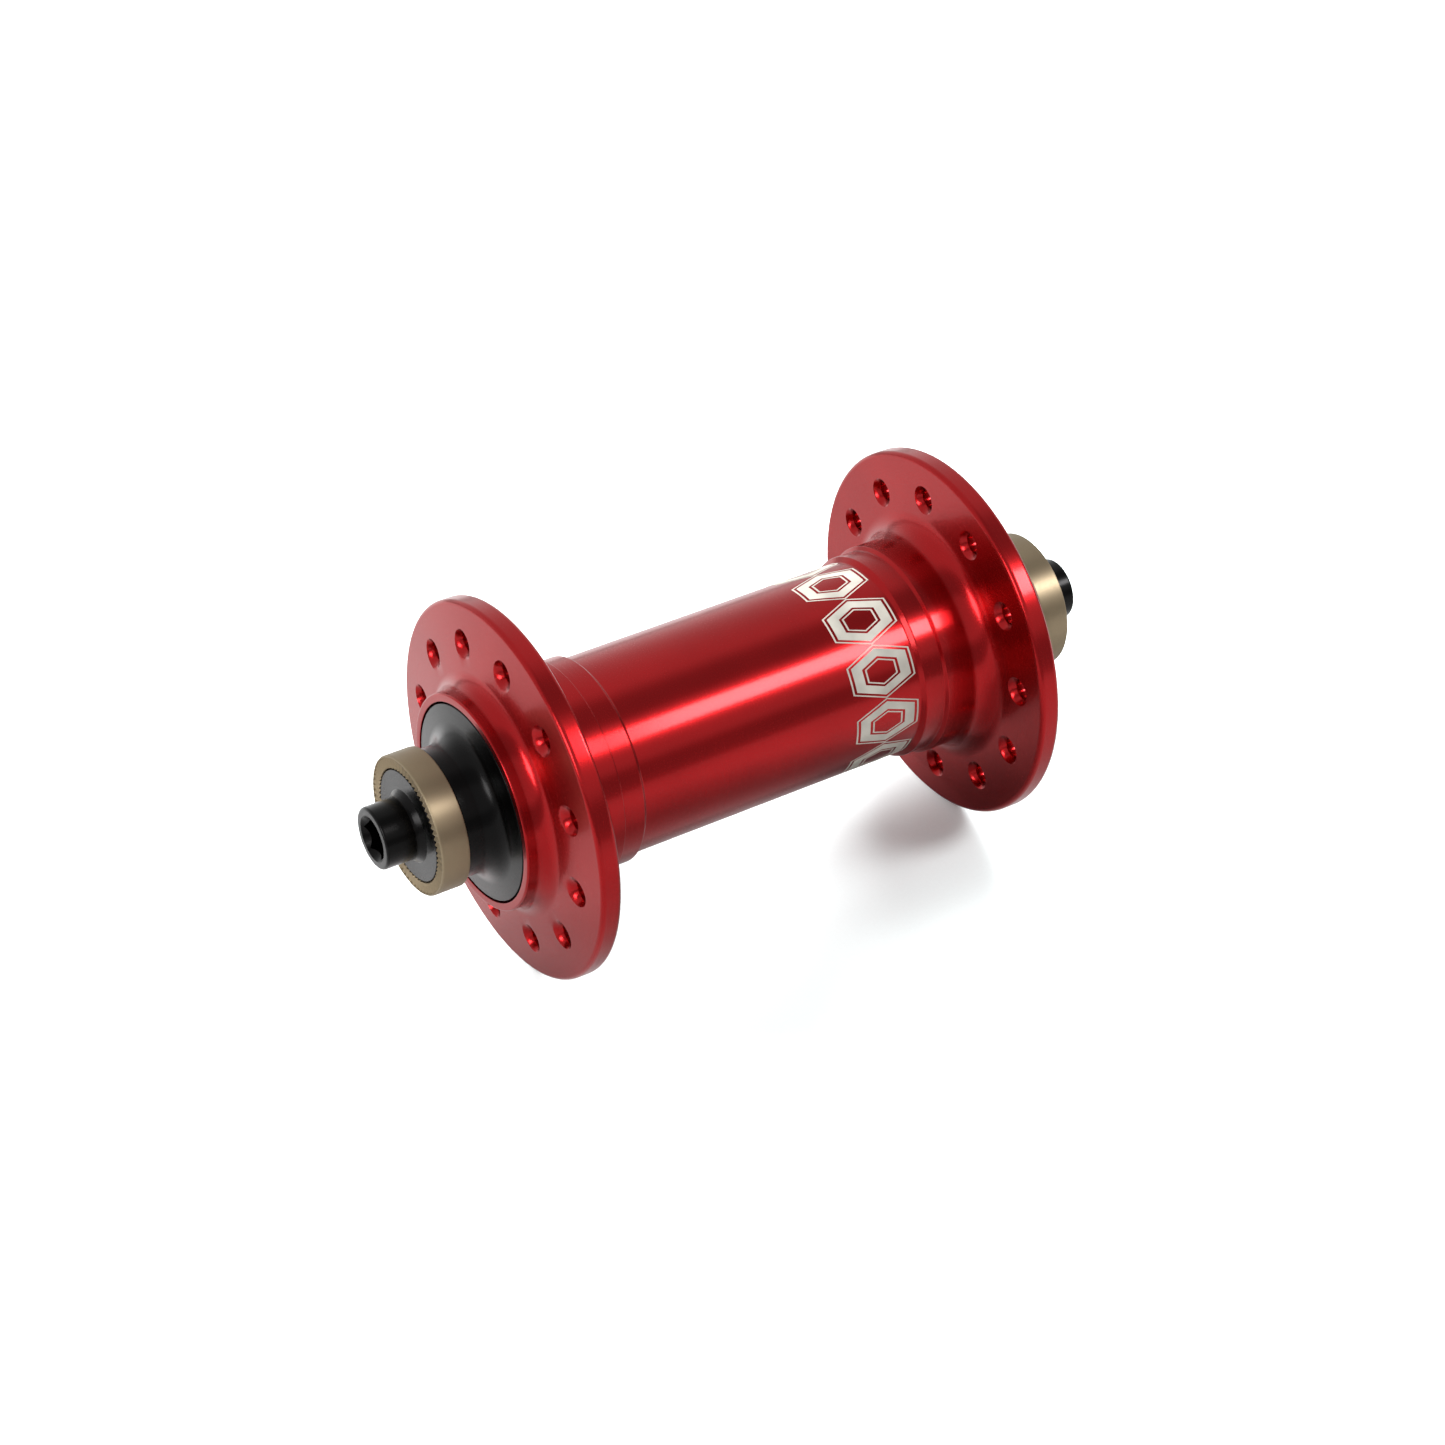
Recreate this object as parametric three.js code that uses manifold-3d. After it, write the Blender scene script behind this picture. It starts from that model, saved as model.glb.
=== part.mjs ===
// A quick-release bicycle front hub: a fixed axle, two cartridge bearings and a 24-hole flanged shell.
// Millimetres. The wheel turns about Y, left is -Y, right is +Y and Z is up. The origin is the hub's centre.

import * as THREE from 'three';
import { mergeVertices } from 'three/addons/utils/BufferGeometryUtils.js';
import Module from 'manifold-3d';

const wasm = await Module();
wasm.setup();

// Every profile is a list of [radius, y] points on the +Y half; the left half mirrors it.
const SIDES = [{ name: 'left', sign: -1 }, { name: 'right', sign: 1 }];

// ---- Driving dimensions ----
const dropoutFace = 50;          // half of the 100 mm between a front fork's dropouts
const axleTip = 55.17;
const flange = {
  radius: 26.6,
  edgeRound: 0.5,
  innerY: 32.9,                  // inner face at the foot; the flange thins outwards
  innerRimY: 33.1,
  outerY: 36.9,
  outerRimY: 36.05,
};
const spokes = { perFlange: 12, circleRadius: 21.05, holeRadius: 1.3, chamfer: 0.8 };
const spokePhase = { left: 22.3, right: 7.3 };    // degrees; the flanges are half a hole apart
const barrelRadius = 13.9;
const collarRadius = 15.1;
const innerCove = 3.2;           // radius of the sweep from the collar into the flange's inner face
const outerCove = 2.3;
const mouth = { y: 40.55, boreRadius: 14.05, bossRadius: 15.2 };
const bearing = { y: 35, width: 7, boreRadius: 8.6, outerRadius: 13.85 };
const ball = { radius: 1.6, pitchRadius: 11.25, perBearing: 11 };
const raceGrooveRadius = 1.7;
const skewerBoreRadius = 3.05;   // a 5 mm quick-release skewer runs through the whole hub
const hexAcrossFlats = 5.2;
const axleBoreRadius = 5.9;

// Sides of the round parts.
const LARGE_ROUND = 36;
const SMALL_ROUND = 24;
const HOLE_ROUND = 10;

// ---- Materials ----
function look(color, roughness, metalness) {
  return new THREE.MeshStandardMaterial({ color, roughness, metalness });
}
const redAnodised = look(0xa81c20, 0.3, 0.9);
const blackAnodised = look(0x1d1c1e, 0.25, 0.7);
const titaniumGrey = look(0xb5a78f, 0.38, 0.9);
const bareAlloy = look(0xb9bbbe, 0.4, 0.95);
const bearingSteel = look(0xc3c6c9, 0.18, 1.0);
const blackRubber = look(0x161616, 0.75, 0.0);
const cagePolymer = look(0xb38a52, 0.6, 0.0);

// ---- Shape helpers ----
const radians = THREE.MathUtils.degToRad;

function arc(centreRadius, centreY, radius, fromDegrees, toDegrees, steps) {
  const points = [];
  for (let i = 0; i <= steps; i += 1) {
    const angle = radians(fromDegrees + (toDegrees - fromDegrees) * i / steps);
    points.push([centreRadius + radius * Math.cos(angle), centreY + radius * Math.sin(angle)]);
  }
  return points;
}

function section(innerRadius, outerRadius, fromY, toY) {
  return [[innerRadius, fromY], [outerRadius, fromY], [outerRadius, toY], [innerRadius, toY]];
}

function mirrored(profile, sign) {
  return profile.map(([r, y]) => [r, y * sign]);
}

// Revolves a closed profile about Y. The profile runs anticlockwise, so that the faces point out.
function turned(profile, sides) {
  const points = profile.map(([r, y]) => new THREE.Vector2(r, y));
  if (THREE.ShapeUtils.area(points) < 0) points.reverse();
  points.push(points[0].clone());
  return new THREE.LatheGeometry(points, sides);
}

function toSolid(geometry) {
  const bare = geometry.clone();
  bare.deleteAttribute('normal');
  bare.deleteAttribute('uv');
  const merged = mergeVertices(bare, 1e-4);
  return new wasm.Manifold(new wasm.Mesh({
    numProp: 3,
    vertProperties: merged.attributes.position.array,
    triVerts: Uint32Array.from(merged.index.array),
  }));
}

function toGeometry(solid) {
  const mesh = solid.getMesh();
  const geometry = new THREE.BufferGeometry();
  geometry.setAttribute('position', new THREE.BufferAttribute(mesh.vertProperties, 3));
  geometry.setIndex(new THREE.BufferAttribute(mesh.triVerts, 1));
  geometry.computeVertexNormals();
  return geometry;
}

function cut(geometry, cutters) {
  let solid = toSolid(geometry);
  for (const cutter of cutters) solid = solid.subtract(toSolid(cutter));
  return toGeometry(solid);
}

const hub = new THREE.Group();

function add(name, geometry, material) {
  const mesh = new THREE.Mesh(geometry, material);
  mesh.name = name;
  hub.add(mesh);
}

// ---- Hub shell ----
// From the middle of the barrel outwards, round the flange to the mouth, and back down the bore.
function shellHalf() {
  const bandRadius = 14.6;
  const lipChamfer = 0.3;
  const seatY = bearing.y - bearing.width / 2 - 0.2;
  const innerBoreRadius = 12.2;
  const rim = flange.radius - flange.edgeRound;
  return [
    [barrelRadius, 21.9],
    [bandRadius, 22.5],
    [bandRadius, 25.4],
    [collarRadius, 25.9],
    ...arc(collarRadius + innerCove, flange.innerY - innerCove, innerCove, 180, 90, 4),
    ...arc(rim, flange.innerRimY + flange.edgeRound, flange.edgeRound, -90, 0, 2),
    ...arc(rim, flange.outerRimY - flange.edgeRound, flange.edgeRound, 0, 90, 2),
    ...arc(mouth.bossRadius + outerCove, flange.outerY + outerCove, outerCove, -90, -180, 3),
    [mouth.bossRadius, mouth.y - lipChamfer],
    [mouth.bossRadius - lipChamfer, mouth.y],
    [mouth.boreRadius, mouth.y],
    [mouth.boreRadius, seatY],
    [innerBoreRadius, seatY],
  ];
}

// Where a flange face stands at the spoke circle, between its foot and its rim.
function faceAtSpokes(footRadius, footY, rimY) {
  return footY + (rimY - footY) * (spokes.circleRadius - footRadius) / (flange.radius - footRadius);
}

// One spoke hole with a chamfer that opens through each face of the flange.
function spokeCutter(sign, angleDegrees) {
  const overrun = 1.2;
  const innerFace = faceAtSpokes(collarRadius + innerCove, flange.innerY, flange.innerRimY);
  const outerFace = faceAtSpokes(mouth.bossRadius + outerCove, flange.outerY, flange.outerRimY);
  const wide = spokes.holeRadius + spokes.chamfer + overrun;
  const profile = mirrored([
    [0, innerFace - overrun],
    [wide, innerFace - overrun],
    [spokes.holeRadius, innerFace + spokes.chamfer],
    [spokes.holeRadius, outerFace - spokes.chamfer],
    [wide, outerFace + overrun],
    [0, outerFace + overrun],
  ], sign);
  const cutter = turned(profile, HOLE_ROUND);
  const angle = radians(angleDegrees);
  cutter.translate(spokes.circleRadius * Math.cos(angle), 0, spokes.circleRadius * Math.sin(angle));
  return cutter;
}

function hubShell() {
  const half = shellHalf();
  const body = turned([...half, ...mirrored(half, -1).reverse()], LARGE_ROUND);
  const cutters = [];
  for (const { name, sign } of SIDES) {
    for (let i = 0; i < spokes.perFlange; i += 1) {
      cutters.push(spokeCutter(sign, spokePhase[name] + i * 360 / spokes.perFlange));
    }
  }
  return cut(body, cutters);
}

// ---- Axle ----
// A tube that is widest between the bearings; its shoulders set the inner races apart.
function axle() {
  const shoulder = { radius: 9.4, y: bearing.y - bearing.width / 2 - 0.2 };
  const seat = { radius: 8.45, y: bearing.y + bearing.width / 2 + 0.1 };
  const nose = { radius: 7, y: 45.5 };
  const half = [
    [shoulder.radius, shoulder.y],
    [seat.radius, shoulder.y],
    [seat.radius, seat.y],
    [nose.radius, seat.y],
    [nose.radius, nose.y],
    [axleBoreRadius, nose.y],
  ];
  return turned([...half, ...mirrored(half, -1).reverse()], SMALL_ROUND);
}

// ---- End cap: a dust disc in the shell's mouth, flaring down to the neck behind the grip ring ----
const sealGroove = { radius: 8, fromY: 41.4, toY: 42.6 };

function endCap(sign) {
  const boreRadius = 7.25;
  const disc = { radius: 13.75, y: mouth.y - 0.05, backY: 39.2 };
  const neck = { radius: 9, y: 45.7 };
  const flare = 2.6;
  const flareY = 41 + flare;
  const contact = { radius: 10.2, y: bearing.y + bearing.width / 2 + 0.3 };
  return turned(mirrored([
    [boreRadius, contact.y],
    [contact.radius, contact.y],
    [contact.radius, disc.backY],
    [disc.radius, disc.backY],
    [disc.radius, disc.y],
    ...arc(neck.radius + flare, flareY, flare, -90, -180, 4),
    [neck.radius, neck.y],
    [boreRadius, neck.y],
    [boreRadius, sealGroove.toY],
    [sealGroove.radius, sealGroove.toY],
    [sealGroove.radius, sealGroove.fromY],
    [boreRadius, sealGroove.fromY],
  ], sign), LARGE_ROUND);
}

function capSeal(sign) {
  const cord = 0.4;
  const middleY = (sealGroove.fromY + sealGroove.toY) / 2;
  const circle = arc(sealGroove.radius - cord - 0.1, middleY, cord, 0, 300, 5);
  return turned(mirrored(circle, sign), SMALL_ROUND);
}

// ---- Grip ring: radial teeth bite the dropout, and the end bolt's head clamps its inner step ----
function gripRing(sign) {
  const teeth = 36;
  const toothDepth = 0.3;
  const edge = 0.2;
  const outer = 9.75;
  const innerTooth = 7.95;
  const step = { radius: 5.9, backY: 45.9, y: 47 };
  const profile = [
    [step.radius, step.backY],
    [outer, step.backY],
    [outer, dropoutFace - edge],
    [outer - edge, dropoutFace],
    [innerTooth, dropoutFace],
    [innerTooth, step.y],
    [step.radius, step.y],
  ];
  const geometry = turned(mirrored(profile, sign), teeth * 2);
  const position = geometry.attributes.position;
  const toothPitch = Math.PI / teeth;
  for (let i = 0; i < position.count; i += 1) {
    const onFace = Math.abs(position.getY(i)) > dropoutFace - toothDepth / 10;
    const facet = Math.round(Math.atan2(position.getX(i), position.getZ(i)) / toothPitch);
    if (onFace && facet % 2 !== 0) position.setY(i, sign * (dropoutFace - toothDepth));
  }
  return geometry;
}

// ---- End bolt: the stub that drops into the fork, its head and its shank, with a hexagon socket ----
const socketFloorY = axleTip - 4.6;

function endBolt(sign) {
  const stub = { radius: 4.35, chamfer: 0.35, y: 51 };
  const shoulder = { radius: 5.1, y: 50.4 };
  const head = { radius: 7.75, y: dropoutFace - 0.15, backY: 47.25 };
  const shank = { radius: 5.6, y: 30 };
  const blank = hexAcrossFlats / 2 - 0.3;      // the hexagon is cut out of this smaller bore
  const body = turned(mirrored([
    [skewerBoreRadius, shank.y],
    [shank.radius, shank.y],
    [shank.radius, head.backY],
    [head.radius, head.backY],
    [head.radius, head.y],
    [shoulder.radius, head.y],
    [shoulder.radius, shoulder.y],
    [stub.radius, stub.y],
    [stub.radius, axleTip - stub.chamfer],
    [stub.radius - stub.chamfer, axleTip],
    [blank, axleTip],
    [blank, socketFloorY],
    [skewerBoreRadius, socketFloorY],
  ], sign), SMALL_ROUND);
  return cut(body, [hexSocket(sign), socketLeadIn(sign)]);
}

function hexSocket(sign) {
  const overrun = 1;
  const cornerRadius = hexAcrossFlats / Math.sqrt(3);
  const profile = mirrored([
    [0, socketFloorY - overrun],
    [cornerRadius, socketFloorY - overrun],
    [cornerRadius, axleTip + overrun],
    [0, axleTip + overrun],
  ], sign);
  return turned(profile, 6);
}

function socketLeadIn(sign) {
  const mouthRadius = 3.25;
  const slope = 0.7;
  return turned(mirrored([
    [0, axleTip - 1],
    [mouthRadius - slope, axleTip - 1],
    [mouthRadius + slope, axleTip + 1],
    [0, axleTip + 1],
  ], sign), SMALL_ROUND);
}

// ---- Cartridge bearing ----
const innerShoulderRadius = 10.35;
const outerShoulderRadius = 12.15;
const halfWidth = bearing.width / 2;

const grooveReach = 58;          // half the angle that a ball groove spans

function innerRace(sign) {
  const from = 180 - grooveReach;
  const to = 180 + grooveReach;
  const groove = arc(ball.pitchRadius, bearing.y, raceGrooveRadius, from, to, 4);
  return turned(mirrored([
    [bearing.boreRadius, bearing.y - halfWidth],
    [innerShoulderRadius, bearing.y - halfWidth],
    ...groove.reverse(),
    [innerShoulderRadius, bearing.y + halfWidth],
    [bearing.boreRadius, bearing.y + halfWidth],
  ], sign), SMALL_ROUND);
}

function outerRace(sign) {
  const groove = arc(ball.pitchRadius, bearing.y, raceGrooveRadius, -grooveReach, grooveReach, 4);
  return turned(mirrored([
    [bearing.outerRadius, bearing.y - halfWidth],
    [outerShoulderRadius, bearing.y - halfWidth],
    ...groove,
    [outerShoulderRadius, bearing.y + halfWidth],
    [bearing.outerRadius, bearing.y + halfWidth],
  ], sign), SMALL_ROUND);
}

function bearingSeal(sign, towardsEnd) {
  const setBack = 0.3;
  const thickness = 0.5;
  const innerRadius = innerShoulderRadius + 0.15;
  const outerRadius = outerShoulderRadius - 0.15;
  const outwards = halfWidth - setBack - thickness;
  const fromY = bearing.y + (towardsEnd ? outwards : -outwards - thickness);
  return turned(mirrored(section(innerRadius, outerRadius, fromY, fromY + thickness), sign), SMALL_ROUND);
}

function ballCentre(sign, index) {
  const angle = index * 2 * Math.PI / ball.perBearing;
  const x = ball.pitchRadius * Math.cos(angle);
  const z = ball.pitchRadius * Math.sin(angle);
  return new THREE.Vector3(x, sign * bearing.y, z);
}

function raceBall(sign, index) {
  const centre = ballCentre(sign, index);
  return new THREE.IcosahedronGeometry(ball.radius, 1).translate(centre.x, centre.y, centre.z);
}

// A round hole for one ball, drilled through the cage along a radius.
function cagePocket(sign, index) {
  const pocketRadius = ball.radius + 0.25;
  const depth = 4;
  const drill = new THREE.CylinderGeometry(pocketRadius, pocketRadius, depth, 8);
  const centre = ballCentre(sign, index);
  const outwards = new THREE.Vector3(centre.x, 0, centre.z).normalize();
  drill.applyQuaternion(new THREE.Quaternion().setFromUnitVectors(new THREE.Vector3(0, 1, 0), outwards));
  return drill.translate(centre.x, centre.y, centre.z);
}

// A ribbon between the races, with a pocket for each ball.
function ballCage(sign) {
  const halfHeight = 2.3;
  const halfThickness = 0.55;
  const profile = section(
    ball.pitchRadius - halfThickness,
    ball.pitchRadius + halfThickness,
    bearing.y - halfHeight,
    bearing.y + halfHeight,
  );
  const ribbon = turned(mirrored(profile, sign), ball.perBearing * 3);
  const pockets = [];
  for (let i = 0; i < ball.perBearing; i += 1) pockets.push(cagePocket(sign, i));
  return cut(ribbon, pockets);
}

// ---- Assembly ----
add('hub_shell', hubShell(), redAnodised);
add('axle', axle(), bareAlloy);

for (const { name, sign } of SIDES) {
  add(`${name}_end_cap`, endCap(sign), blackAnodised);
  add(`${name}_cap_o_ring`, capSeal(sign), blackRubber);
  add(`${name}_grip_ring`, gripRing(sign), titaniumGrey);
  add(`${name}_end_bolt`, endBolt(sign), blackAnodised);
  add(`${name}_inner_race`, innerRace(sign), bearingSteel);
  add(`${name}_outer_race`, outerRace(sign), bearingSteel);
  add(`${name}_outer_bearing_seal`, bearingSeal(sign, true), blackRubber);
  add(`${name}_inner_bearing_seal`, bearingSeal(sign, false), blackRubber);
  add(`${name}_ball_cage`, ballCage(sign), cagePolymer);
  for (let i = 0; i < ball.perBearing; i += 1) {
    const label = String(i + 1).padStart(2, '0');
    add(`${name}_ball_${label}`, raceBall(sign, i), bearingSteel);
  }
}

export default hub;
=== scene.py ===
import math

import bmesh
import bpy
from mathutils import Matrix, Vector


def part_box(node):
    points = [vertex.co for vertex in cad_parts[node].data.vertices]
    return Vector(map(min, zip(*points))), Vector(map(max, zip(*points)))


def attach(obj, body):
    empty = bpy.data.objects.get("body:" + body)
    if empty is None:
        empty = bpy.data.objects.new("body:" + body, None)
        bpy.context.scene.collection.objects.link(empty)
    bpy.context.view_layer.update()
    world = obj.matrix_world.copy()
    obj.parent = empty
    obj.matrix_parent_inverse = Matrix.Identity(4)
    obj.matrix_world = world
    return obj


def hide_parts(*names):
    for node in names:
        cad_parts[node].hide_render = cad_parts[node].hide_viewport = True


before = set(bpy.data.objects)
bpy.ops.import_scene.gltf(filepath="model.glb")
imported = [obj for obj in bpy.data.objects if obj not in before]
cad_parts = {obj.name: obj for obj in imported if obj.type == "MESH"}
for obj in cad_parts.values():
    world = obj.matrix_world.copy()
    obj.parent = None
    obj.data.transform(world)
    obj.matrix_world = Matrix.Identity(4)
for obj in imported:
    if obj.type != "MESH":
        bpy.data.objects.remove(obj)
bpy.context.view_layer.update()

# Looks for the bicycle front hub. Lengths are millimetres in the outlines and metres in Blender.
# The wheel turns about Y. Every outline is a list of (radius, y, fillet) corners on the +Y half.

MM = 0.001
SIDES = {"left": -1, "right": 1}
ROUND_STEPS = 192
SHARP_ANGLE = math.radians(30)


# ---- Sizes taken from the frame ----
def reach(node):
    """The radius of a CAD node and its nearest and farthest |y|, in mm."""
    low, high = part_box(node)
    return high.x / MM, min(abs(low.y), abs(high.y)) / MM, max(abs(low.y), abs(high.y)) / MM


FLANGE_RADIUS = reach("hub_shell")[0]
MOUTH_Y = reach("hub_shell")[2]
DISC_RADIUS, CAP_BACK_Y, NECK_END_Y = reach("right_end_cap")
RING_RADIUS, RING_BACK_Y, RING_FACE_Y = reach("right_grip_ring")
HEAD_RADIUS, SHANK_END_Y, TIP_Y = reach("right_end_bolt")
FLOOR_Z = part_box("hub_shell")[0].z

BARREL_RADIUS = 13.9
BAND_RADIUS = 14.6
COLLAR_RADIUS = 15.1
BOSS_RADIUS = 15.2
INNER_FACE_Y = (32.9, 33.1)       # at the foot and at the rim
OUTER_FACE_Y = (36.9, 36.05)
FACE_FEET = (18.3, 17.5)          # radii where the inner and outer faces start
SPOKE_CIRCLE = 21.05
SPOKE_PHASE = {"left": 22.3, "right": 7.3}
SPOKES_PER_FLANGE = 12
SPOKE_BORE = 1.3

BEARING_Y = 35.0
BEARING_HALF_WIDTH = 3.5
BEARING_SEAT_RADIUS = 14.05       # in the shell
SHELL_BORE_RADIUS = 12.2
SKEWER_BORE_RADIUS = 3.05
AXLE_BORE_RADIUS = 5.9
CAP_BORE_RADIUS = 7.25
HEAD_BACK_Y = 47.25               # where an end bolt's head meets its shank


# ---- Mesh helpers ----
def unit(vector):
    return vector / vector.length


def rounded(corners):
    """A closed outline of (radius, y) points with each corner of (radius, y, fillet) rounded off."""
    outline = []
    for i, (r, y, fillet) in enumerate(corners):
        corner = Vector((r, y))
        before = unit(Vector(corners[i - 1][:2]) - corner)
        after = unit(Vector(corners[(i + 1) % len(corners)][:2]) - corner)
        inside = before.angle(after)
        if fillet == 0 or inside > math.radians(179):
            outline.append(corner)
            continue
        centre = corner + unit(before + after) * fillet / math.sin(inside / 2)
        tangent = fillet / math.tan(inside / 2)
        start = corner + before * tangent - centre
        end = corner + after * tangent - centre
        turn = start.angle_signed(end)
        steps = max(2, math.ceil(abs(turn) / math.radians(9)))
        for k in range(steps + 1):
            outline.append(centre + Matrix.Rotation(-turn * k / steps, 2) @ start)
    return [(p.x, p.y) for p in outline]


def mirrored(corners):
    return [(r, -y, fillet) for r, y, fillet in corners]


def both_halves(corners):
    """A half outline that starts at the middle, joined to its mirror image."""
    return corners + mirrored(corners)[::-1]


def new_object(name, bm):
    mesh = bpy.data.meshes.new(name)
    bmesh.ops.recalc_face_normals(bm, faces=bm.faces)
    bm.to_mesh(mesh)
    bm.free()
    piece = bpy.data.objects.new(name, mesh)
    bpy.context.scene.collection.objects.link(piece)
    return piece


def turned(name, outline, steps=ROUND_STEPS, height=None):
    """Revolves a closed outline about Y. height(radius, y, turn) may move a point along Y."""
    bm = bmesh.new()
    rings = []
    for step in range(steps):
        turn = 2 * math.pi * step / steps
        ring = []
        for r, y in outline:
            lifted = height(r, y, turn) if height else y
            place = (r * MM * math.cos(turn), lifted * MM, r * MM * math.sin(turn))
            ring.append(bm.verts.new(place))
        rings.append(ring)
    for step, ring in enumerate(rings):
        following = rings[(step + 1) % steps]
        for i in range(len(outline)):
            j = (i + 1) % len(outline)
            bm.faces.new((ring[i], ring[j], following[j], following[i]))
    return new_object(name, bm)


def drill_bit(name, centre, stations, sides):
    """A solid along Y through centre, with a (y, radius) pair for each station."""
    bm = bmesh.new()
    rings = []
    for y, radius in stations:
        ring = []
        for side in range(sides):
            turn = 2 * math.pi * side / sides
            x = centre[0] + radius * math.cos(turn)
            z = centre[1] + radius * math.sin(turn)
            ring.append(bm.verts.new((x * MM, y * MM, z * MM)))
        rings.append(ring)
    for lower, upper in zip(rings, rings[1:]):
        for i in range(sides):
            j = (i + 1) % sides
            bm.faces.new((lower[i], lower[j], upper[j], upper[i]))
    bm.faces.new(rings[0])
    bm.faces.new(rings[-1])
    return new_object(name, bm)


def bake_modifiers(piece):
    evaluated = piece.evaluated_get(bpy.context.evaluated_depsgraph_get())
    mesh = bpy.data.meshes.new_from_object(evaluated)
    piece.modifiers.clear()
    piece.data = mesh


def carve(piece, cutters):
    """Takes each cutter out of the piece and throws the cutters away."""
    for cutter in cutters:
        modifier = piece.modifiers.new(cutter.name, "BOOLEAN")
        modifier.object = cutter
        modifier.operation = "DIFFERENCE"
        modifier.solver = "MANIFOLD"
    bake_modifiers(piece)
    for cutter in cutters:
        bpy.data.objects.remove(cutter)


def shade(piece):
    """Smooth shading that keeps flat faces flat and real corners crisp."""
    piece.data.shade_smooth()
    piece.data.set_sharp_from_angle(angle=SHARP_ANGLE)
    weights = piece.modifiers.new("face_weights", "WEIGHTED_NORMAL")
    weights.keep_sharp = True
    weights.weight = 100
    bake_modifiers(piece)


def finish_piece(piece, material, body, slot, *nodes):
    shade(piece)
    piece.data.materials.clear()
    piece.data.materials.append(material)
    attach(piece, body)
    if nodes:
        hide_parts(*nodes)


# ---- Material helpers ----
class Shader:
    """A material's node tree with short calls for the nodes that the finishes share."""

    def __init__(self, name, color, metallic, roughness):
        self.material = bpy.data.materials.new(name)
        self.material.use_nodes = True
        self.tree = self.material.node_tree
        self.surface = self.tree.nodes["Principled BSDF"]
        self.surface.inputs["Base Color"].default_value = (*color, 1)
        self.surface.inputs["Metallic"].default_value = metallic
        self.surface.inputs["Roughness"].default_value = roughness
        self.color = color
        self.roughness = roughness

    def node(self, kind, inputs=None, **settings):
        made = self.tree.nodes.new(kind)
        for key, value in settings.items():
            setattr(made, key, value)
        for key, value in (inputs or {}).items():
            if isinstance(value, bpy.types.NodeSocket):
                self.tree.links.new(value, made.inputs[key])
            else:
                made.inputs[key].default_value = value
        return made.outputs[0]

    def math(self, operation, a, b=0.0):
        return self.node("ShaderNodeMath", {0: a, 1: b}, operation=operation)

    def feed(self, socket_name, value):
        self.tree.links.new(value, self.surface.inputs[socket_name])

    def place(self):
        """The point in the row frame, in metres: the whole vector, and its x, y and z."""
        coordinates = self.tree.nodes.new("ShaderNodeTexCoord")
        split = self.tree.nodes.new("ShaderNodeSeparateXYZ")
        self.tree.links.new(coordinates.outputs["Object"], split.inputs[0])
        return coordinates.outputs["Object"], split.outputs

    def lathe_place(self):
        """The point as (radius, y, 0), so that a texture runs round the axle."""
        _, (x, y, z) = self.place()
        squares = self.math("ADD", self.math("MULTIPLY", x, x), self.math("MULTIPLY", z, z))
        radius = self.math("SQRT", squares)
        return self.node("ShaderNodeCombineXYZ", {0: radius, 1: y, 2: 0.0})

    def noise(self, place, size_mm, detail=2.0):
        """Noise from 0 to 1 whose grain is size_mm across."""
        inputs = {"Vector": place, "Scale": 1 / (size_mm * MM), "Detail": detail}
        return self.node("ShaderNodeTexNoise", inputs)

    def spread(self, value, low, high):
        """Maps the middle of a noise's range to low..high."""
        return self.node("ShaderNodeMapRange", {0: value, 1: 0.3, 2: 0.7, 3: low, 4: high})

    def vary_color(self, factor, light, dark):
        """Base Color between the base times dark and the base times light."""
        mix = self.tree.nodes.new("ShaderNodeMix")
        mix.data_type = "RGBA"
        share, low, high = mix.inputs[0], mix.inputs[6], mix.inputs[7]
        self.tree.links.new(factor, share)
        low.default_value = (*[c * dark for c in self.color], 1)
        high.default_value = (*[min(1, c * light) for c in self.color], 1)
        self.feed("Base Color", mix.outputs[2])

    def brush_round_axle(self):
        """Spreads highlights across the lathe marks, which run round Y."""
        marks = self.node("ShaderNodeTangent", direction_type="RADIAL", axis="Y")
        self.feed("Tangent", marks)
        self.surface.inputs["Anisotropic"].default_value = 0.7
        self.surface.inputs["Anisotropic Rotation"].default_value = 0.25

    def bump(self, height, strength, depth_mm):
        inputs = {"Height": height, "Strength": strength, "Distance": depth_mm * MM}
        self.feed("Normal", self.node("ShaderNodeBump", inputs))


def turned_finish(name, color, roughness, marks, grain=0.03, coat=0.0, coat_ior=1.32, coat_roughness=0.12):
    """Metal off a lathe: fine marks round the axle, a faint grain and slow changes of colour."""
    shader = Shader(name, color, 1.0, roughness)
    shader.brush_round_axle()
    place, _ = shader.place()
    lathe = shader.lathe_place()
    fine_marks = shader.noise(lathe, 0.16)
    wide_marks = shader.noise(lathe, 1.1)
    speckle = shader.noise(place, 0.12)
    clouds = shader.noise(place, 9.0)
    shader.vary_color(shader.spread(clouds, 0, 1), 1.06, 0.94)
    rough = shader.math("ADD", shader.spread(fine_marks, -marks / 6, marks / 6), roughness)
    rough = shader.math("ADD", rough, shader.spread(wide_marks, -marks / 8, marks / 8))
    rough = shader.math("ADD", rough, shader.spread(speckle, -grain, grain))
    shader.feed("Roughness", rough)
    relief = shader.math("ADD", fine_marks, shader.math("MULTIPLY", speckle, 0.4))
    shader.bump(relief, marks, 0.004)
    shader.surface.inputs["Coat Weight"].default_value = coat
    shader.surface.inputs["Coat Roughness"].default_value = coat_roughness
    shader.surface.inputs["Coat IOR"].default_value = coat_ior
    return shader.material


def red_anodised():
    red = (0.37, 0.007, 0.009)
    return turned_finish("red_anodised_turned", red, 0.26, marks=0.025, grain=0.015, coat=0.48)


def black_anodised():
    black_dye = (0.003, 0.0027, 0.0027)
    return turned_finish("black_anodised_turned", black_dye, 0.3, marks=0.05, coat=1.0, coat_ior=1.2,
                         coat_roughness=0.22)


def champagne_titanium():
    return turned_finish("champagne_turned", (0.31, 0.245, 0.16), 0.46, marks=0.05, grain=0.05)


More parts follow.
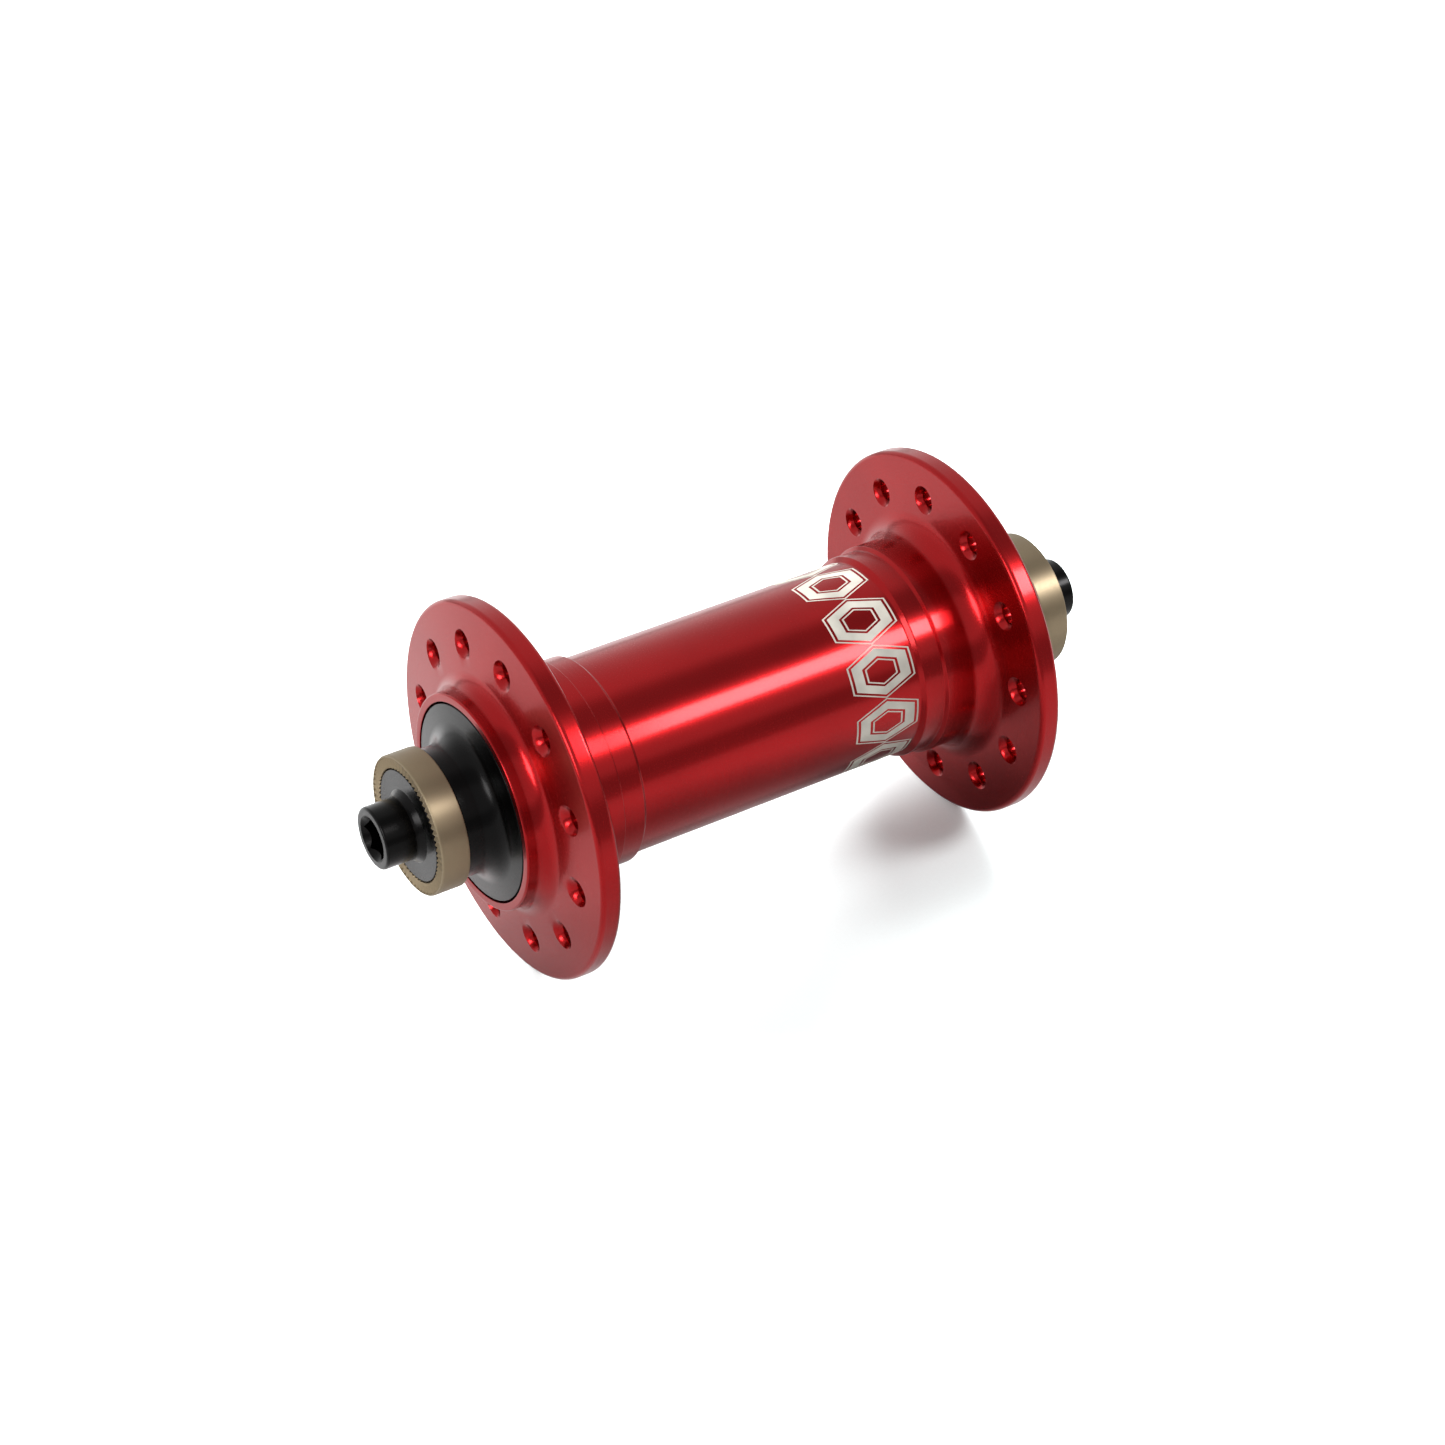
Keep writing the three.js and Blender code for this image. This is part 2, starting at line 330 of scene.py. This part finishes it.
def bare_alloy():
    return turned_finish("bare_alloy_turned", (0.72, 0.73, 0.75), 0.3, marks=0.3)


def ground_steel():
    return turned_finish("ground_steel", (0.72, 0.73, 0.74), 0.12, marks=0.15)


def dull_finish(name, color, roughness, grain_mm):
    """A surface with no shine of metal, such as rubber or card: a fine pebble grain and slow clouds."""
    shader = Shader(name, color, 0.0, roughness)
    place, _ = shader.place()
    pebble = shader.noise(place, grain_mm, 3.0)
    clouds = shader.noise(place, 4.0)
    shader.vary_color(shader.spread(clouds, 0, 1), 1.2, 0.8)
    shader.feed("Roughness", shader.spread(pebble, roughness - 0.08, roughness + 0.08))
    shader.bump(pebble, 0.3, 0.02)
    return shader.material


def etched_alloy():
    return dull_finish("etched_alloy", (0.38, 0.365, 0.32), 0.5, 0.3)


# Painted shade: the dark grey paper of the card that stands in for the shadow under the hub.
def under_hub_shade_paper():
    return dull_finish("under_hub_shade_card_paper", (0.26, 0.26, 0.26), 1.0, 0.5)


def black_rubber():
    return dull_finish("black_rubber", (0.02, 0.02, 0.021), 0.7, 0.25)


def cage_polymer():
    return dull_finish("cage_polymer", (0.45, 0.27, 0.11), 0.5, 0.4)


# ---- Hub shell ----
def shell_outline():
    seat_floor_y = BEARING_Y - BEARING_HALF_WIDTH - 0.2
    return rounded(both_halves([
        (BARREL_RADIUS, 21.95, 0.25),
        (BAND_RADIUS, 22.5, 0.25),
        (BAND_RADIUS, 25.5, 0.05),
        (COLLAR_RADIUS, 25.8, 0.12),
        (COLLAR_RADIUS, INNER_FACE_Y[0], FACE_FEET[0] - COLLAR_RADIUS),
        (FLANGE_RADIUS, INNER_FACE_Y[1], 0.7),
        (FLANGE_RADIUS, OUTER_FACE_Y[1], 0.7),
        (BOSS_RADIUS, OUTER_FACE_Y[0] + 0.2, FACE_FEET[1] - BOSS_RADIUS),
        (BOSS_RADIUS, MOUTH_Y, 0.25),
        (BEARING_SEAT_RADIUS, MOUTH_Y, 0.06),
        (BEARING_SEAT_RADIUS, seat_floor_y, 0.1),
        (SHELL_BORE_RADIUS, seat_floor_y, 0.2),
    ]))


def face_y(radius, foot, ends):
    """Where a flange face stands at a radius, between its foot and its rim."""
    return ends[0] + (ends[1] - ends[0]) * (radius - foot) / (FLANGE_RADIUS - foot)


def spoke_bit(side, index):
    """The cutter for one spoke hole: a bore with a softly rounded chamfer at each face."""
    # Each step is a depth below the face and a radius. The first stands clear of the face.
    turn = math.radians(SPOKE_PHASE[side] + index * 360 / SPOKES_PER_FLANGE)
    centre = (SPOKE_CIRCLE * math.cos(turn), SPOKE_CIRCLE * math.sin(turn))
    chamfer = 0.75
    mouth = SPOKE_BORE + chamfer
    chamfer_steps = [
        (-1.0, mouth + 1.6),
        (0.0, mouth + 0.1),
        (0.12, mouth - 0.1),
        (chamfer, SPOKE_BORE + 0.05),
        (chamfer + 0.15, SPOKE_BORE),
    ]
    inner = face_y(SPOKE_CIRCLE, FACE_FEET[0], INNER_FACE_Y)
    outer = face_y(SPOKE_CIRCLE, FACE_FEET[1], OUTER_FACE_Y)
    stations = [(inner + depth, radius) for depth, radius in chamfer_steps]
    stations += [(outer - depth, radius) for depth, radius in reversed(chamfer_steps)]
    stations = [(SIDES[side] * y, radius) for y, radius in stations]
    return drill_bit(f"spoke_bit_{side}_{index}", centre, stations, 40)


def make_shell(material):
    shell = turned("shell_turned", shell_outline())
    carve(shell, [spoke_bit(side, i) for side in SIDES for i in range(SPOKES_PER_FLANGE)])
    finish_piece(shell, material, "wheel_side", "red_anodised", "hub_shell")


# ---- Etched band: a chain of generic hexagon links round the barrel ----
LINK_HALF_ARC = 3.83
LINK_HALF_HEIGHT = 5.05
LINKS = 6
LINK_RINGS = ((0.95, 1.0), (0.56, 0.87), (0.43, 0.48))    # inner and outer edge, as shares of a link
BAND_MIDDLE_Y = 16.5
BAND_ENDS = (-33, 125)            # degrees round the barrel, to the middles of the end links
TILE_TOP = 0.02
TILE_UNDER = -0.05


def hexagon_corner(index, scale):
    """A corner of a stretched hexagon, as (along the arc, along y)."""
    turn = math.radians(60 * (index % 6))
    tall = LINK_HALF_HEIGHT / math.sin(math.radians(60))
    return Vector((LINK_HALF_ARC * math.cos(turn), tall * math.sin(turn))) * scale


def on_barrel(point, lift):
    """A point of the flat pattern (arc length, y) on the barrel, lifted off it by lift mm."""
    turn = point.x / BARREL_RADIUS
    radius = BARREL_RADIUS + lift
    return Vector((radius * math.cos(turn) * MM, point.y * MM, radius * math.sin(turn) * MM))


def lay_quad(bm, flat, cells=8):
    """One thin tile, given by two edges a-b and d-c, split so that it follows the barrel."""
    a, b, c, d = flat
    top, under = [], []
    for i in range(cells + 1):
        share = i / cells
        pair = (a.lerp(b, share), d.lerp(c, share))
        top.append([bm.verts.new(on_barrel(p, TILE_TOP)) for p in pair])
        under.append([bm.verts.new(on_barrel(p, TILE_UNDER)) for p in pair])
    for i in range(cells):
        bm.faces.new((top[i][0], top[i + 1][0], top[i + 1][1], top[i][1]))
        bm.faces.new((under[i][0], under[i][1], under[i + 1][1], under[i + 1][0]))
        for edge in (0, 1):
            bm.faces.new((top[i][edge], top[i + 1][edge], under[i + 1][edge], under[i][edge]))
    for end in (0, cells):
        bm.faces.new((top[end][0], top[end][1], under[end][1], under[end][0]))


def lay_hexagon(bm, centre, inner, outer):
    for i in range(6):
        a = centre + hexagon_corner(i, outer)
        b = centre + hexagon_corner(i + 1, outer)
        c = centre + hexagon_corner(i + 1, inner)
        d = centre + hexagon_corner(i, inner)
        lay_quad(bm, (a, b, c, d))


def make_etched_band(material):
    bm = bmesh.new()
    first, last = (BARREL_RADIUS * math.radians(turn) for turn in BAND_ENDS)
    pitch = (last - first) / (LINKS - 1)
    for i in range(LINKS):
        centre = Vector((first + pitch * i, BAND_MIDDLE_Y))
        for inner, outer in LINK_RINGS:
            lay_hexagon(bm, centre, inner, outer)
    band = new_object("etched_band", bm)
    finish_piece(band, material, "wheel_side", "bare_alloy")


# ---- End pieces ----
def half_turned(name, side, corners, steps=ROUND_STEPS, height=None):
    if SIDES[side] < 0:
        corners = mirrored(corners)
    return turned(name, rounded(corners), steps, height)


def make_end_cap(side, material):
    neck_radius = 9.0
    contact_radius = 10.2         # the part that presses on the inner race
    disc_back_y = 39.2
    cap = half_turned(f"{side}_cap_turned", side, [
        (CAP_BORE_RADIUS, CAP_BACK_Y, 0.1),
        (contact_radius, CAP_BACK_Y, 0.1),
        (contact_radius, disc_back_y, 0.1),
        (DISC_RADIUS, disc_back_y, 0.1),
        (DISC_RADIUS, MOUTH_Y - 0.05, 0.12),
        (neck_radius, 41.0, 2.7),
        (neck_radius, NECK_END_Y, 0.2),
        (CAP_BORE_RADIUS, NECK_END_Y, 0.2),
    ])
    finish_piece(cap, material, "fixed_axle", "black_anodised", f"{side}_end_cap")


def make_grip_ring(side, material):
    teeth = 64
    tooth_depth = 0.3
    inner_tooth, outer_tooth = 7.95, 9.4
    bore_radius = 5.9
    step_y = 47.0                 # the inner step that the end bolt's head clamps
    sign = SIDES[side]

    def height(r, y, turn):
        """Cuts V grooves between the teeth into the outer face, short of its rim."""
        if r > outer_tooth + 0.01 or sign * y < RING_FACE_Y - 0.2:
            return y
        wave = abs((turn * teeth / (2 * math.pi)) % 1 * 2 - 1)
        return y - sign * tooth_depth * wave

    ring = half_turned(f"{side}_ring_toothed", side, [
        (bore_radius, RING_BACK_Y, 0.1),
        (RING_RADIUS, RING_BACK_Y, 0.2),
        (RING_RADIUS, RING_FACE_Y, 0.25),
        (outer_tooth, RING_FACE_Y, 0),
        (inner_tooth, RING_FACE_Y, 0.08),
        (inner_tooth, step_y, 0.05),
        (bore_radius, step_y, 0.1),
    ], steps=teeth * 8, height=height)
    finish_piece(ring, material, "fixed_axle", "titanium_grey", f"{side}_grip_ring")


def make_end_bolt(side, material):
    across_flats = 5.2
    blank = across_flats / 2 - 0.3
    socket_floor_y = TIP_Y - 4.6
    shank_radius = 5.6
    stub_radius = 4.35
    shoulder_radius = 5.1
    head_y = 49.85
    bolt = half_turned(f"{side}_bolt_turned", side, [
        (SKEWER_BORE_RADIUS, SHANK_END_Y, 0.2),
        (shank_radius, SHANK_END_Y, 0.4),
        (shank_radius, HEAD_BACK_Y, 0.1),
        (HEAD_RADIUS, HEAD_BACK_Y, 0.1),
        (HEAD_RADIUS, head_y, 0.12),
        (shoulder_radius, head_y, 0.1),
        (stub_radius, 50.7, 0.6),
        (stub_radius, TIP_Y, 0.4),
        (blank, TIP_Y, 0.05),
        (blank, socket_floor_y, 0.05),
        (SKEWER_BORE_RADIUS, socket_floor_y, 0.05),
    ])
    carve(bolt, [hexagon_bit(side, across_flats, socket_floor_y), lead_in_bit(side)])
    finish_piece(bolt, material, "fixed_axle", "black_anodised", f"{side}_end_bolt")


def hexagon_bit(side, across_flats, floor_y):
    """The cutter for the socket, from just below its floor to clear of the tip."""
    corner = across_flats / math.sqrt(3)
    stations = [(SIDES[side] * (floor_y - 1), corner), (SIDES[side] * (TIP_Y + 1), corner)]
    return drill_bit(f"{side}_hexagon", (0, 0), stations, 6)


def lead_in_bit(side):
    """A cone that breaks the sharp edge at the mouth of the socket."""
    below, above = (TIP_Y - 1, 2.55), (TIP_Y + 1, 3.95)
    stations = [(SIDES[side] * y, radius) for y, radius in (below, above)]
    return drill_bit(f"{side}_lead_in", (0, 0), stations, 96)


# ---- Axle and bearings ----
BEARING_BORE_RADIUS = 8.6
BEARING_RADIUS = 13.85
PITCH_RADIUS = 11.25
BALL_RADIUS = 1.6
BALLS_PER_BEARING = 11
INNER_SHOULDER_RADIUS = 10.35
OUTER_SHOULDER_RADIUS = 12.15
GROOVE_RADIUS = 1.7
GROOVE_REACH = 58                 # degrees from the middle of the groove to each shoulder
SEAL_THICKNESS = 0.5


def make_axle(material):
    seat_start = BEARING_Y - BEARING_HALF_WIDTH - 0.2
    seat_end = BEARING_Y + BEARING_HALF_WIDTH + 0.1
    seat_radius, nose_radius, nose_end = 8.45, 7.0, 45.5
    axle = turned("axle_turned", rounded(both_halves([
        (9.4, seat_start, 0.2),
        (seat_radius, seat_start, 0.1),
        (seat_radius, seat_end, 0.2),
        (nose_radius, seat_end, 0.1),
        (nose_radius, nose_end, 0.3),
        (AXLE_BORE_RADIUS, nose_end, 0.2),
    ])))
    finish_piece(axle, material, "fixed_axle", "bare_alloy", "axle")


def groove(first_degrees, last_degrees):
    """The ball groove of a race, from one shoulder to the other."""
    steps = 10
    corners = []
    for step in range(steps + 1):
        turn = math.radians(first_degrees + (last_degrees - first_degrees) * step / steps)
        r = PITCH_RADIUS + GROOVE_RADIUS * math.cos(turn)
        corners.append((r, BEARING_Y + GROOVE_RADIUS * math.sin(turn), 0))
    return corners


def make_race(side, name, back_radius, shoulder_radius, groove_corners, body, material):
    low, high = BEARING_Y - BEARING_HALF_WIDTH, BEARING_Y + BEARING_HALF_WIDTH
    corners = [(back_radius, low, 0.3), (shoulder_radius, low, 0.12), *groove_corners]
    corners += [(shoulder_radius, high, 0.12), (back_radius, high, 0.3)]
    race = half_turned(f"{side}_{name}_turned", side, corners)
    finish_piece(race, material, body, "bearing_steel", f"{side}_{name}")


def square_section(inner, outer, low, high, fillet):
    return [(inner, low, fillet), (outer, low, fillet), (outer, high, fillet), (inner, high, fillet)]


def make_bearing_seal(side, name, low, material):
    gap = 0.15
    inner, outer = INNER_SHOULDER_RADIUS + gap, OUTER_SHOULDER_RADIUS - gap
    corners = square_section(inner, outer, low, low + SEAL_THICKNESS, 0.1)
    seal = half_turned(f"{side}_{name}_turned", side, corners)
    finish_piece(seal, material, "wheel_side", "black_rubber", f"{side}_{name}")


def make_o_ring(side, material):
    cord, steps = 0.4, 24
    middle_radius, middle_y = 7.5, 42
    corners = []
    for step in range(steps):
        turn = 2 * math.pi * step / steps
        corners.append((middle_radius + cord * math.cos(turn), middle_y + cord * math.sin(turn), 0))
    ring = half_turned(f"{side}_o_ring_turned", side, corners)
    finish_piece(ring, material, "fixed_axle", "black_rubber", f"{side}_cap_o_ring")


def ball_place(side, index):
    """Where a ball sits, turned so that its own Z points away from the axle."""
    turn = 2 * math.pi * index / BALLS_PER_BEARING
    outwards = Vector((math.cos(turn), 0, math.sin(turn)))
    centre = outwards * PITCH_RADIUS * MM + Vector((0, SIDES[side] * BEARING_Y * MM, 0))
    return Matrix.Translation(centre) @ outwards.to_track_quat("Z", "Y").to_matrix().to_4x4()


def make_ball(side, index, material):
    bm = bmesh.new()
    place = ball_place(side, index)
    bmesh.ops.create_uvsphere(bm, u_segments=32, v_segments=16, radius=BALL_RADIUS * MM, matrix=place)
    label = f"{side}_ball_{index + 1:02d}"
    ball = new_object(f"{label}_round", bm)
    finish_piece(ball, material, f"{side}_ball_set", "bearing_steel", label)


def pocket_drill(side, index):
    """The cutter for one ball's pocket in the cage, drilled along a radius."""
    radius = (BALL_RADIUS + 0.25) * MM
    bm = bmesh.new()
    place = ball_place(side, index)
    bmesh.ops.create_cone(
        bm, cap_ends=True, segments=48, radius1=radius, radius2=radius, depth=4 * MM, matrix=place)
    return new_object(f"{side}_pocket_drill_{index}", bm)


def make_ball_cage(side, material):
    half_height, half_width = 0.55, 2.3
    inner, outer = PITCH_RADIUS - half_height, PITCH_RADIUS + half_height
    corners = square_section(inner, outer, BEARING_Y - half_width, BEARING_Y + half_width, 0.25)
    cage = half_turned(f"{side}_cage_ribbon", side, corners)
    carve(cage, [pocket_drill(side, i) for i in range(BALLS_PER_BEARING)])
    finish_piece(cage, material, f"{side}_ball_set", "cage_polymer", f"{side}_ball_cage")


def make_bearing(side, steel, rubber, polymer):
    inner_groove = groove(180 + GROOVE_REACH, 180 - GROOVE_REACH)
    outer_groove = groove(-GROOVE_REACH, GROOVE_REACH)
    make_race(
        side, "inner_race", BEARING_BORE_RADIUS, INNER_SHOULDER_RADIUS, inner_groove, "fixed_axle", steel)
    make_race(
        side, "outer_race", BEARING_RADIUS, OUTER_SHOULDER_RADIUS, outer_groove, "wheel_side", steel)
    seal_offset = 2.7             # from the middle of the bearing to the inside of each seal
    make_bearing_seal(side, "outer_bearing_seal", BEARING_Y + seal_offset, rubber)
    make_bearing_seal(side, "inner_bearing_seal", BEARING_Y - seal_offset - SEAL_THICKNESS, rubber)
    make_ball_cage(side, polymer)
    for index in range(BALLS_PER_BEARING):
        make_ball(side, index, steel)


# ---- Studio ----
def floor_sheet(name, color, width, depth):
    """A matt square sheet under the hub, depth metres below the flanges' lowest point."""
    bpy.ops.mesh.primitive_plane_add(size=width, location=(0, 0, FLOOR_Z - depth))
    sheet = bpy.context.object
    sheet.name = name
    shader = Shader(f"{name}_paper", color, 0.0, 1.0)
    shader.surface.inputs["Specular IOR Level"].default_value = 0.0
    place, _ = shader.place()
    fibres = shader.noise(place, 0.5)
    shader.vary_color(shader.spread(fibres, 0, 1), 1.01, 0.99)
    sheet.data.materials.append(shader.material)
    return sheet


def under_hub_shade_card(length, width, depth):
    """A small dark card beneath the barrel that only the metal reflects. It is painted shade: it stands in
    for the shadow under the hub, so the barrel's underside reflects a darker floor.
    """
    bpy.ops.mesh.primitive_plane_add(size=1, location=(0, 0.005, FLOOR_Z - depth))
    card = bpy.context.object
    card.name = "under_hub_shade_card"
    card.scale = (width, length, 1)
    card.data.materials.append(under_hub_shade_paper())
    card.visible_camera = False


def make_floor():
    """White paper that the camera sees, and darker cards at its level that the metal reflects. The small
    dark card is painted shade for the shadow under the hub.
    """
    seen = floor_sheet("white_paper", (0.90, 0.97, 0.97), 4, 0.0001)
    seen.visible_diffuse = False
    seen.visible_glossy = False
    seen.visible_shadow = False
    reflected = floor_sheet("grey_card", (0.38, 0.38, 0.38), 0.6, 0.0002)
    reflected.visible_camera = False
    # Painted shade: a dark card under the barrel in place of the hub's shadow on the floor.
    under_hub_shade_card(0.05, 0.022, 0.00015)

# Brightness of the room by angle round Y, in degrees up from +X: light and dark cards, blended.
ROOM_CARDS = [
    (-180, 0.62), (-10, 0.5), (-2, 0.4), (14, 0.36), (22, 0.8), (64, 0.75), (70, 0.38), (92, 0.42),
    (106, 0.85), (150, 0.85), (165, 0.95), (180, 1.0),
]


def make_world():
    """A grey room whose brightness changes round the hub's axis, like cards in a light tent."""
    world = bpy.data.worlds.new("light_tent")
    bpy.context.scene.world = world
    world.use_nodes = True
    tree = world.node_tree
    background = tree.nodes["Background"]
    coordinates = tree.nodes.new("ShaderNodeTexCoord")
    split = tree.nodes.new("ShaderNodeSeparateXYZ")
    tree.links.new(coordinates.outputs["Generated"], split.inputs[0])
    angle = tree.nodes.new("ShaderNodeMath")
    angle.operation = "ARCTAN2"
    tree.links.new(split.outputs["Z"], angle.inputs[0])
    tree.links.new(split.outputs["X"], angle.inputs[1])
    share = tree.nodes.new("ShaderNodeMapRange")
    share.inputs[1].default_value = -math.pi
    share.inputs[2].default_value = math.pi
    tree.links.new(angle.outputs[0], share.inputs[0])
    ramp = tree.nodes.new("ShaderNodeValToRGB")
    tree.links.new(share.outputs[0], ramp.inputs[0])
    tree.links.new(ramp.outputs[0], background.inputs[0])
    stops = ramp.color_ramp.elements
    while len(stops) < len(ROOM_CARDS):
        stops.new(0.5)
    for stop, (degrees, level) in zip(stops, ROOM_CARDS):
        stop.position = (degrees + 180) / 360
        stop.color = (level, level, level, 1)
    background.inputs[1].default_value = 1.0


def make_light(name, place, size, power, glossy=True):
    """A rectangular lamp that faces the hub. One that isn't glossy shows in no reflection."""
    data = bpy.data.lights.new(name, "AREA")
    data.shape = "RECTANGLE"
    data.size, data.size_y = size
    data.energy = power
    light = bpy.data.objects.new(name, data)
    light.location = place
    light.rotation_euler = Vector(place).to_track_quat("Z", "Y").to_euler()
    light.visible_glossy = glossy
    bpy.context.scene.collection.objects.link(light)
    return light


def make_lights():
    strip_angle = math.radians(50.5)
    strip_distance = 0.5
    strip_place = (strip_distance * math.cos(strip_angle), 0.33, strip_distance * math.sin(strip_angle))
    strip = make_light("strip_box", strip_place, (0.13, 0.26), 2.3)
    strip.rotation_euler = (0, math.pi / 2 - strip_angle, 0)      # square to the axle
    make_light("left_box", (0.13, -0.58, 0.22), (0.2, 0.2), 1.1)
    make_light("right_wash", (-0.71, 0.47, 0.31), (0.3, 0.3), 14.0, glossy=False)
    make_light("left_wash", (-0.36, -0.48, 0.54), (0.36, 0.36), 11.0, glossy=False)


def make_camera():
    """The photograph's view: a lens of about 90 mm, half a metre away, looking down at the hub."""
    azimuth, elevation = math.radians(57.84), math.radians(36.01)
    distance, right_shift, up_shift = 0.4915, 0.00113, 0.00209
    forward = Vector((
        -math.sin(azimuth) * math.cos(elevation),
        math.cos(azimuth) * math.cos(elevation),
        -math.sin(elevation),
    ))
    right = Vector((math.cos(azimuth), math.sin(azimuth), 0))
    up = right.cross(forward)
    data = bpy.data.cameras.new("photo_camera")
    data.lens = 89.6
    data.sensor_width = 36
    camera = bpy.data.objects.new("photo_camera", data)
    camera.location = -(forward * distance + right * right_shift + up * up_shift)
    camera.rotation_euler = forward.to_track_quat("-Z", "Y").to_euler()
    bpy.context.scene.collection.objects.link(camera)
    bpy.context.scene.camera = camera


# ---- Making the scene ----
black = black_anodised()
champagne = champagne_titanium()
steel = ground_steel()
rubber = black_rubber()
polymer = cage_polymer()
make_shell(red_anodised())
make_etched_band(etched_alloy())
for end in SIDES:
    make_end_cap(end, black)
    make_grip_ring(end, champagne)
    make_end_bolt(end, black)
    make_o_ring(end, rubber)
    make_bearing(end, steel, rubber, polymer)
make_axle(bare_alloy())

make_floor()
make_world()
make_lights()
make_camera()
bpy.context.scene.view_settings.view_transform = "Standard"
